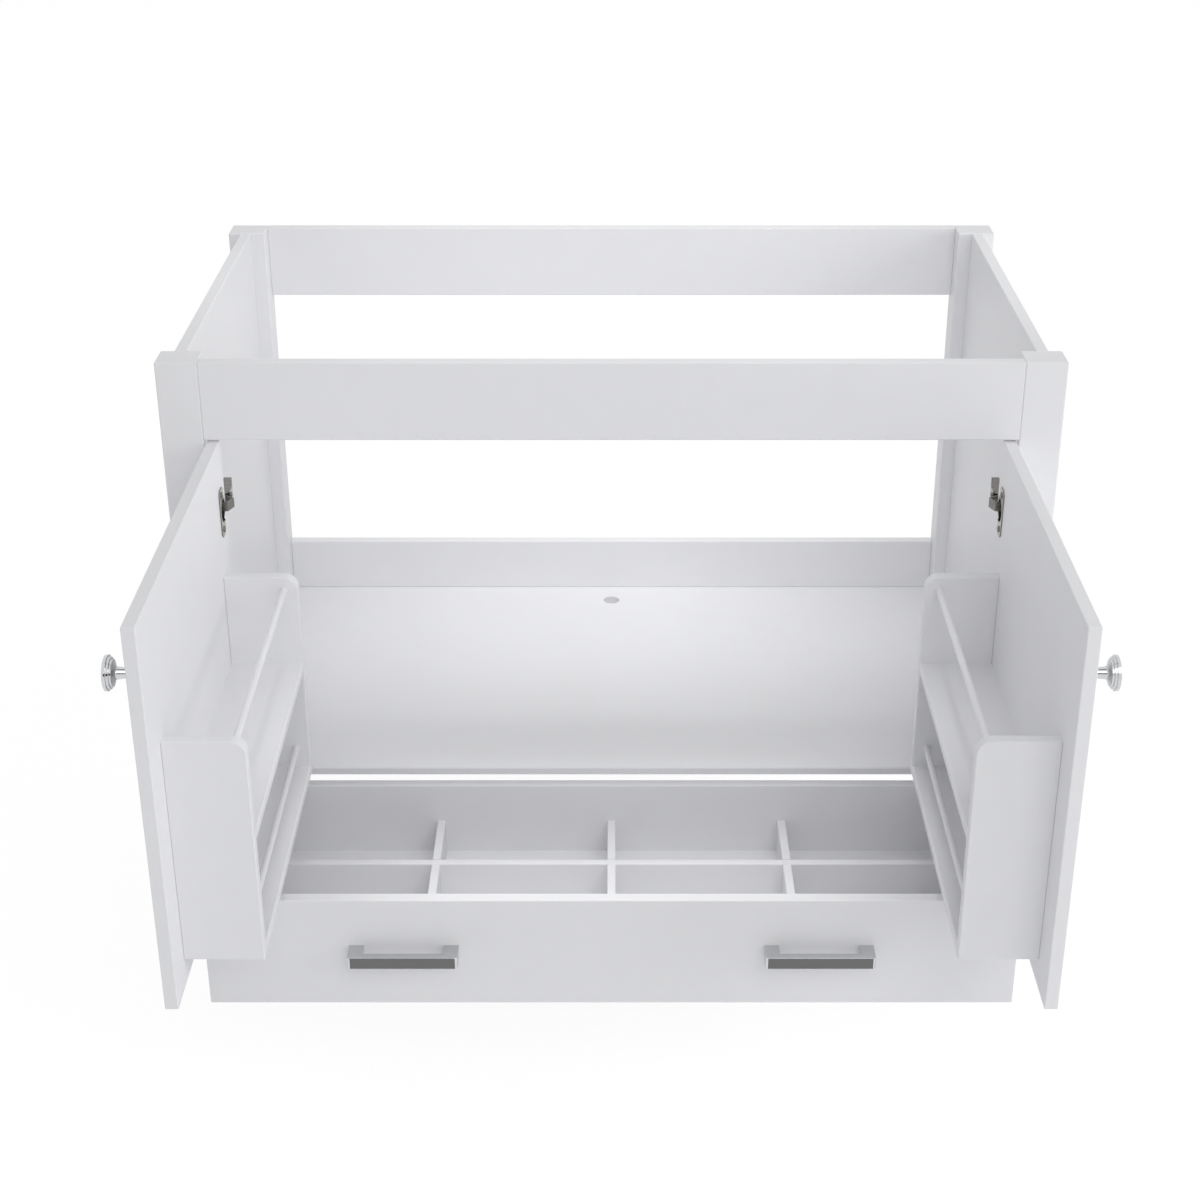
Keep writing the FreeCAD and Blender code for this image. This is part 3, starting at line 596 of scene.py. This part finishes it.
def knob_shape(sizes):
    """Turned knob along +Z from the door: stem, cone, three stepped rings, low crown.

    The crown is part of a ball, h = reach - R + sqrt(R^2 - r^2), with R from its rise.
    """
    stem, neck = sizes.stem_radius / MM, sizes.neck_radius / MM
    face, reach = sizes.face_radius / MM, sizes.reach / MM
    ball = ((face - 1.4) ** 2 + CROWN_RISE ** 2) / (2 * CROWN_RISE)
    r = np.linspace(face - 1.6, 0.6, 9)
    crown = np.stack([r, reach - ball + np.sqrt(ball ** 2 - r ** 2)], -1)
    corners = [(0.0, 0.0), (stem, 0.0), (neck, reach - 11.6),
               (face - 3.8, reach - 9.6), (face - 3.8, reach - 7.8), (face - 1.8, reach - 7.8),
               (face - 1.8, reach - 5.6), (face, reach - 5.6), (face, reach - 2.7),
               tuple(crown[0]), tuple(crown[1])]
    radii = [0.25, 1.6, 0.35, 0.35, 0.3, 0.35, 0.3, 0.35, 0.6]
    outline = rounded_profile(corners, radii)
    outline = np.vstack([outline[1:-1], crown[2:]])
    return lathe(outline * MM, sizes.turns)


class CABINET_OT_knobs(bpy.types.Operator):
    """Turn the two chrome knobs"""

    bl_idname = "cabinet.knobs"
    bl_label = "Knobs"

    def execute(self, context):
        sizes = context.scene.cabinet_knobs
        points, faces = knob_shape(sizes)
        for side, sign in SIDES:
            low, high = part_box(side + "_knob")
            foot = high.x if sign < 0 else low.x
            seat = (foot, (low.y + high.y) / 2, (low.z + high.z) / 2)
            shape = (placed(points, seat, (sign, 0, 0)), faces)
            make_piece(side + "_turned_knob", shape, chrome(context.scene.cabinet_looks),
                       "door_" + side, [side + "_knob"])
        return {"FINISHED"}


def pull_shape(sizes, half, reach, high):
    """Square bow pull: a rounded rectangle carried round a bow, all in millimetres.

    At each station the outer point O and the inner point I bound the section. The
    section runs round a rounded rectangle (a, z), and its points are I + a (O - I).
    """
    leg, bar = sizes.leg / MM, sizes.bar / MM
    corner, inner, edge = sizes.corner / MM, sizes.inner_corner / MM, sizes.edge / MM
    gap = reach - bar
    # one half of the bow: a straight leg, then a quarter turn
    t = np.linspace(0.0, math.pi / 2, 9)
    turn_out = np.stack([-half + corner * (1 - np.cos(t)), -reach + corner * (1 - np.sin(t))], -1)
    turn_in = np.stack([-half + leg + inner * (1 - np.cos(t)),
                        -gap + inner * (1 - np.sin(t))], -1)
    down = np.linspace(0.0, 1.0, 4)[:-1, None]
    leg_out = np.array([-half, 0.0]) * (1 - down) + turn_out[0] * down
    leg_in = np.array([-half + leg, 0.0]) * (1 - down) + turn_in[0] * down
    out, ins = np.vstack([leg_out, turn_out]), np.vstack([leg_in, turn_in])
    flip = np.array([-1.0, 1.0])
    out = np.vstack([out, (out * flip)[::-1]])
    ins = np.vstack([ins, (ins * flip)[::-1]])
    thick = np.linalg.norm(out - ins, axis=1)[:, None]
    # the section: quarter rounds at the four corners of the rectangle
    q = np.linspace(0.0, math.pi / 2, 5)
    turn = np.concatenate([q, q + math.pi / 2, q + math.pi, q + 1.5 * math.pi])
    side = np.repeat([1.0, 0.0, 0.0, 1.0], 5)
    away = np.repeat([1.0, 1.0, -1.0, -1.0], 5)
    a = side + (np.cos(turn) - np.where(side > 0.5, 1.0, -1.0)) * edge / thick
    z = away * (high / 2 - edge) + np.sin(turn) * edge + 0 * thick
    plan = ins[:, None, :] + a[..., None] * (out - ins)[:, None, :]
    points = np.concatenate([plan, z[..., None]], -1).reshape(-1, 3)
    rows, columns = z.shape
    quads = grid_faces(rows, columns, wrap=True)[:, ::-1]
    first = np.arange(columns)[None]
    last = first[:, ::-1] + (rows - 1) * columns
    return points * MM, [quads, first, last]


class CABINET_OT_pulls(bpy.types.Operator):
    """Shape the two bow pulls"""

    bl_idname = "cabinet.pulls"
    bl_label = "Pulls"

    def execute(self, context):
        sizes = context.scene.cabinet_pulls
        for side, _ in SIDES:
            low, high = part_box(side + "_pull")
            half = (high.x - low.x) / 2 / MM
            reach = (high.y - low.y) / MM
            points, faces = pull_shape(sizes, half, reach, (high.z - low.z) / MM)
            points = points + np.array([(low.x + high.x) / 2, high.y, (low.z + high.z) / 2])
            # the pulls' flat front takes a painted dark reflection
            make_piece(side + "_bow_pull", (points, faces),
                       chrome_with_painted_reflection(context.scene.cabinet_looks, low.y + PAINTED_REFLECTION_DEPTH),
                       "drawer", [side + "_pull"])
        return {"FINISHED"}


SCREW_TURNS, HEAD_ROWS = 64, 26
DOME_DROP = 0.45                # fall of the head from its middle to its rim, over its height
CROSS_DEPTH = 0.55              # depth of the recess over the head's height
CROSS_SHARES = (0.13, 0.58, 0.05)   # half width, half length, soft edge over the head's radius


def screw_shape(head_r, head_t, shank_r, length):
    """Cross-recessed screw along +Z, with its seat at 0 and its head above.

    The head is a low dome, h = t (1 - drop (r/R)^2), less a cross. The cross is the
    larger of two bars, each a soft step across its arm times a soft step along it.
    """
    turns, rows = SCREW_TURNS, HEAD_ROWS
    angle = np.linspace(0.0, 2 * math.pi, turns, endpoint=False)
    radius = np.linspace(0.04, 1.0, rows)[:, None] * head_r
    x, y = radius * np.cos(angle), radius * np.sin(angle)
    dome = head_t * (1 - DOME_DROP * (radius / head_r) ** 2) + 0 * angle
    half_width, half_span, soft = (head_r * share for share in CROSS_SHARES)

    def step(value, limit):
        return np.clip((limit - np.abs(value)) / soft + 0.5, 0.0, 1.0)

    cross = np.maximum(step(x, half_width) * step(y, half_span),
                       step(y, half_width) * step(x, half_span))
    height = dome - cross * head_t * CROSS_DEPTH
    top = np.stack([x, y, height], -1)
    wall_r = np.array([head_r, shank_r, shank_r, shank_r * 0.3])[:, None]
    wall_z = np.array([0.0, 0.0, -length * 0.9, -length])[:, None]
    wall = np.stack([wall_r * np.cos(angle), wall_r * np.sin(angle), wall_z + 0 * angle], -1)
    grid = np.concatenate([top, wall], 0)
    total = len(grid)
    crown, point = total * turns, total * turns + 1
    points = np.vstack([grid.reshape(-1, 3), [[0, 0, height[0].mean()], [0, 0, -length]]])
    quads = grid_faces(total, turns, wrap=True)[:, ::-1]
    k = np.arange(turns)
    after = (k + 1) % turns
    last = (total - 1) * turns
    cap = np.stack([k, after, k * 0 + crown], -1)
    tip = np.stack([last + after, last + k, k * 0 + point], -1)
    return points, [quads, cap, tip]


def screw_axis(points):
    """Axis number of a screw, and its direction from tip to head, where it is widest."""
    k = int(np.argmax(np.ptp(points, axis=0)))
    others = [i for i in range(3) if i != k]
    far = points[:, k] >= points[:, k].mean()
    wide = [np.ptp(points[end][:, others], axis=0).max() for end in (~far, far)]
    direction = np.zeros(3)
    direction[k] = 1.0 if wide[1] > wide[0] else -1.0
    return k, direction


def screw_in_place(points, number):
    """A driven screw in place of one solid, its cross turned by its number."""
    k, direction = screw_axis(points)
    others = [i for i in range(3) if i != k]
    along = points @ direction
    top, tip = along.max(), along.min()
    level = np.unique(np.round(along, 6))
    seat = level[level < top - 0.01 * MM].max()
    head = points[along > seat + 0.01 * MM]
    centre = (head.max(0) + head.min(0)) / 2
    shank = points[along < seat - 0.1 * MM]
    head_r = np.linalg.norm((head - centre)[:, others], axis=1).max()
    shank_r = np.linalg.norm((shank - centre)[:, others], axis=1).max()
    shape, faces = screw_shape(head_r * 0.995, top - seat, shank_r, seat - tip)
    origin = centre.copy()
    origin[k] = seat * direction[k]
    turn = 0.5 + number * 0.9
    side = np.zeros(3)
    side[others] = math.cos(turn), math.sin(turn)
    return placed(shape, origin, direction, side), faces


class CABINET_OT_screws(bpy.types.Operator):
    """Drive every screw, with a cross recess in its head"""

    bl_idname = "cabinet.screws"
    bl_label = "Screws"

    def execute(self, context):
        looks = context.scene.cabinet_looks
        rows = [("hinge_screws", "carcass", "nickel", nickel(looks)),
                ("slide_screws", "carcass", "zinc_steel", zinc(looks)),
                ("pull_screws", "drawer", "zinc_steel", zinc(looks)),
                ("drawer_slide_screws", "drawer", "zinc_steel", zinc(looks)),
                ("left_cup_screws", "door_left", "zinc_steel", nickel(looks)),
                ("right_cup_screws", "door_right", "zinc_steel", nickel(looks))]
        for node, body, slot, material in rows:
            shape = joined([screw_in_place(points, number)
                            for number, points in enumerate(islands(node))])
            make_piece(node.replace("screws", "driven_screws"), shape, material, body,
                       [node], 40.0)
        return {"FINISHED"}


def slide_ball(radius, centre):
    """Ball of a few dozen faces.

    The profile r sin b, -r cos b is swept round, with b from near one pole to near the other.
    """
    b = np.linspace(math.pi * 0.12, math.pi * 0.88, 6)
    outline = np.stack([radius * np.sin(b), -radius * np.cos(b)], -1)
    points, faces = lathe(outline, 10)
    return points + np.array(centre), faces


class CABINET_OT_balls(bpy.types.Operator):
    """Set the rows of balls in the drawer slides"""

    bl_idname = "cabinet.balls"
    bl_label = "Slide balls"

    def execute(self, context):
        sizes = context.scene.cabinet_balls
        for side, _ in SIDES:
            low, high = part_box(side + "_slide_middle")
            inner_low, inner_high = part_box(side + "_slide_inner")
            x, z = (low.x + high.x) / 2, (low.z + high.z) / 2
            # (distance above and below the centre line, ball radius, first ball)
            rows = [((high.z - low.z) / 2 + sizes.outer_rise, sizes.outer_radius,
                     high.y - sizes.outer_start),
                    ((inner_high.z - inner_low.z) / 2 + sizes.inner_rise, sizes.inner_radius,
                     low.y + sizes.inner_start)]
            balls = [slide_ball(radius, (x, start + number * sizes.pitch, z + flank * rise))
                     for rise, radius, start in rows
                     for flank in (-1.0, 1.0)
                     for number in range(sizes.count)]
            make_piece(side + "_slide_balls", joined(balls),
                       ball_steel(context.scene.cabinet_looks), "slide_middle_" + side)
        return {"FINISHED"}


# ---- stage ---------------------------------------------------------------------------

CABINET_MIDDLE = (0.0, 0.0, 0.4)
BOX_SIZE = (2.4, 2.0)
FLOOR_COLOUR = (0.92, 0.92, 0.93, 1.0)
SKY_COLOUR = (0.985, 0.99, 1.0, 1.0)
WHITE = (1.0, 1.0, 1.0, 1.0)
FLOOR_LIGHT = 0.64              # level of the light on the open floor, measured in a render
CAMERA_OPTICS = {"sensor_fit": "HORIZONTAL", "sensor_width": 36.0, "lens": 60.903,
                 "shift_x": -0.00958, "shift_y": -0.03642, "clip_end": 60.0}
CAMERA_PLACE = (0.0, -1.9434, 1.4695)
CAMERA_PITCH = 25.8             # degrees below the horizon


def flat_mesh(name, centre, half_wide, half_long, across):
    """Flat grid, centre + a wide + b long, with a and b from -1 to 1."""
    span = np.linspace(-1.0, 1.0, across)
    a, b = np.meshgrid(span, span, indexing="ij")
    points = (np.array(centre) + a[..., None] * np.array(half_wide)
              + b[..., None] * np.array(half_long))
    quads = grid_faces(across, across)[:, ::-1]
    mesh = bpy.data.meshes.new(name)
    mesh.from_pydata(points.reshape(-1, 3).tolist(), [], quads.tolist())
    return mesh


def soft_box(name, place, aim, size, power):
    """Rectangular lamp that points from its place at a spot."""
    data = bpy.data.lights.new(name, "AREA")
    data.shape = "RECTANGLE"
    data.size, data.size_y = size
    data.energy = power
    lamp = placed_object(name, data)
    lamp.location = place
    lamp.rotation_euler = (Vector(aim) - Vector(place)).to_track_quat("-Z", "Y").to_euler()
    return lamp


class CABINET_OT_stage(bpy.types.Operator):
    """Floor, soft light, white surroundings and the camera"""

    bl_idname = "cabinet.stage"
    bl_label = "Stage"

    def execute(self, context):
        settings = context.scene.cabinet_stage
        self.floor(settings)
        self.world(context.scene, settings)
        soft_box("key_soft_box", (1.0, -3.0, 3.2), CABINET_MIDDLE, BOX_SIZE, settings.key)
        soft_box("side_soft_box", (4.0, -1.2, 1.8), CABINET_MIDDLE, BOX_SIZE, settings.side)
        self.beam("bay_beam", (0.0, -0.10, 1.55), (0.0, 0.42, 0.32), (0.70, 0.25), 36.0,
                  settings.bay_fill)
        self.beam("drawer_beam", (0.0, -0.20, 1.5), (0.0, -0.2001, 0.0), (0.54, 0.20), 18.0,
                  settings.drawer_fill)
        self.flag("ceiling_flag", (0.0, -0.2, 3.2), (0.7, 0.0, 0.0), (0.0, 0.3, 0.0))
        self.flag("near_flag", (-0.5, -4.2, 1.6), (0.9, 0.0, 0.0), (0.0, 0.25, 0.5))
        self.camera(context.scene)
        context.scene.view_settings.view_transform = "Standard"
        return {"FINISHED"}

    @staticmethod
    def beam(name, place, aim, size, spread, power):
        """Narrow lamp over a bay, seen by neither the camera nor the chrome."""
        lamp = soft_box(name, place, aim, size, power)
        lamp.data.spread = math.radians(spread)
        lamp.visible_camera = False
        lamp.visible_glossy = False

    @staticmethod
    def flag(name, centre, half_wide, half_long):
        """Dark card out of the picture, for the chrome to mirror."""
        mesh = flat_mesh(name, centre, half_wide, half_long, 5)
        finish = Finish(name + "_cloth")
        weave = finish.noise(finish.place(), 300.0)
        colour = finish.blend(weave, (0.02, 0.02, 0.02, 1.0), (0.03, 0.03, 0.03, 1.0))
        mesh.materials.append(finish.close(Base_Color=colour, Roughness=0.9))
        placed_object(name, mesh)

    @staticmethod
    def floor(settings):
        """Wide floor, white to the camera and in mirrors, that keeps the cabinet's shadow.

        What the camera sees is a glow plus a share of the lit floor, which add up to white.
        """
        mesh = flat_mesh("studio_floor", (0, 0, 0), (12, 0, 0), (0, 12, 0), 9)
        finish = Finish("pale_floor")
        share = settings.floor
        lit = finish.add("ShaderNodeBsdfDiffuse", None, {"Color": FLOOR_COLOUR})
        shade = finish.add("ShaderNodeBsdfDiffuse", None, {"Color": (share, share, share, 1.0)})
        glow = finish.add("ShaderNodeEmission", None,
                          {"Color": WHITE, "Strength": 1.0 - FLOOR_LIGHT * share})
        seen = finish.add("ShaderNodeAddShader", None, [shade, glow])
        finish.end(finish.add("ShaderNodeMixShader", None, [finish.seen_rays(), lit, seen]))
        mesh.materials.append(finish.material)
        placed_object("studio_floor", mesh)

    @staticmethod
    def world(scene, settings):
        """Soft light all round; white to the camera and in mirrors."""
        finish = Finish("studio_surround", world=True)
        soft = finish.add("ShaderNodeBackground", None, [SKY_COLOUR, settings.ambient])
        white = finish.add("ShaderNodeBackground", None, [WHITE, 1.0])
        finish.end(finish.add("ShaderNodeMixShader", None, [finish.seen_rays(), soft, white]))
        scene.world = finish.material

    @staticmethod
    def camera(scene):
        """Camera in front and above, pitched down at the cabinet."""
        data = bpy.data.cameras.new("studio_camera")
        for key, value in CAMERA_OPTICS.items():
            setattr(data, key, value)
        camera = placed_object("studio_camera", data)
        camera.location = CAMERA_PLACE
        camera.rotation_euler = (math.radians(90.0 - CAMERA_PITCH), 0.0, 0.0)
        scene.camera = camera


class CABINET_PT_panel(bpy.types.Panel):
    """Cabinet pieces and their settings"""

    bl_idname = "CABINET_PT_panel"
    bl_label = "Sink base cabinet"
    bl_space_type = "VIEW_3D"
    bl_region_type = "UI"
    bl_category = "Cabinet"

    def draw(self, context):
        layout = self.layout
        scene = context.scene
        for name, kind in GROUPS.items():
            box = layout.box()
            for key in kind.__annotations__:
                box.prop(getattr(scene, name), key)
        for operator in OPERATORS:
            layout.operator(operator.bl_idname)


GROUPS = {"cabinet_looks": CabinetLooks, "cabinet_knobs": KnobSizes,
          "cabinet_pulls": PullSizes, "cabinet_balls": BallSizes,
          "cabinet_stage": StageSettings}
OPERATORS = (CABINET_OT_boards, CABINET_OT_metal, CABINET_OT_knobs, CABINET_OT_pulls,
             CABINET_OT_screws, CABINET_OT_balls, CABINET_OT_stage)


def register():
    for group in GROUPS.values():
        bpy.utils.register_class(group)
    for operator in OPERATORS:
        bpy.utils.register_class(operator)
    bpy.utils.register_class(CABINET_PT_panel)
    for name, group in GROUPS.items():
        setattr(bpy.types.Scene, name, PointerProperty(type=group))


def unregister():
    for name in GROUPS:
        delattr(bpy.types.Scene, name)
    bpy.utils.unregister_class(CABINET_PT_panel)
    for operator in reversed(OPERATORS):
        bpy.utils.unregister_class(operator)
    for group in reversed(list(GROUPS.values())):
        bpy.utils.unregister_class(group)


def main():
    register()
    for operator in OPERATORS:
        family, name = operator.bl_idname.split(".")
        getattr(getattr(bpy.ops, family), name)()


if __name__ == "__main__":
    main()
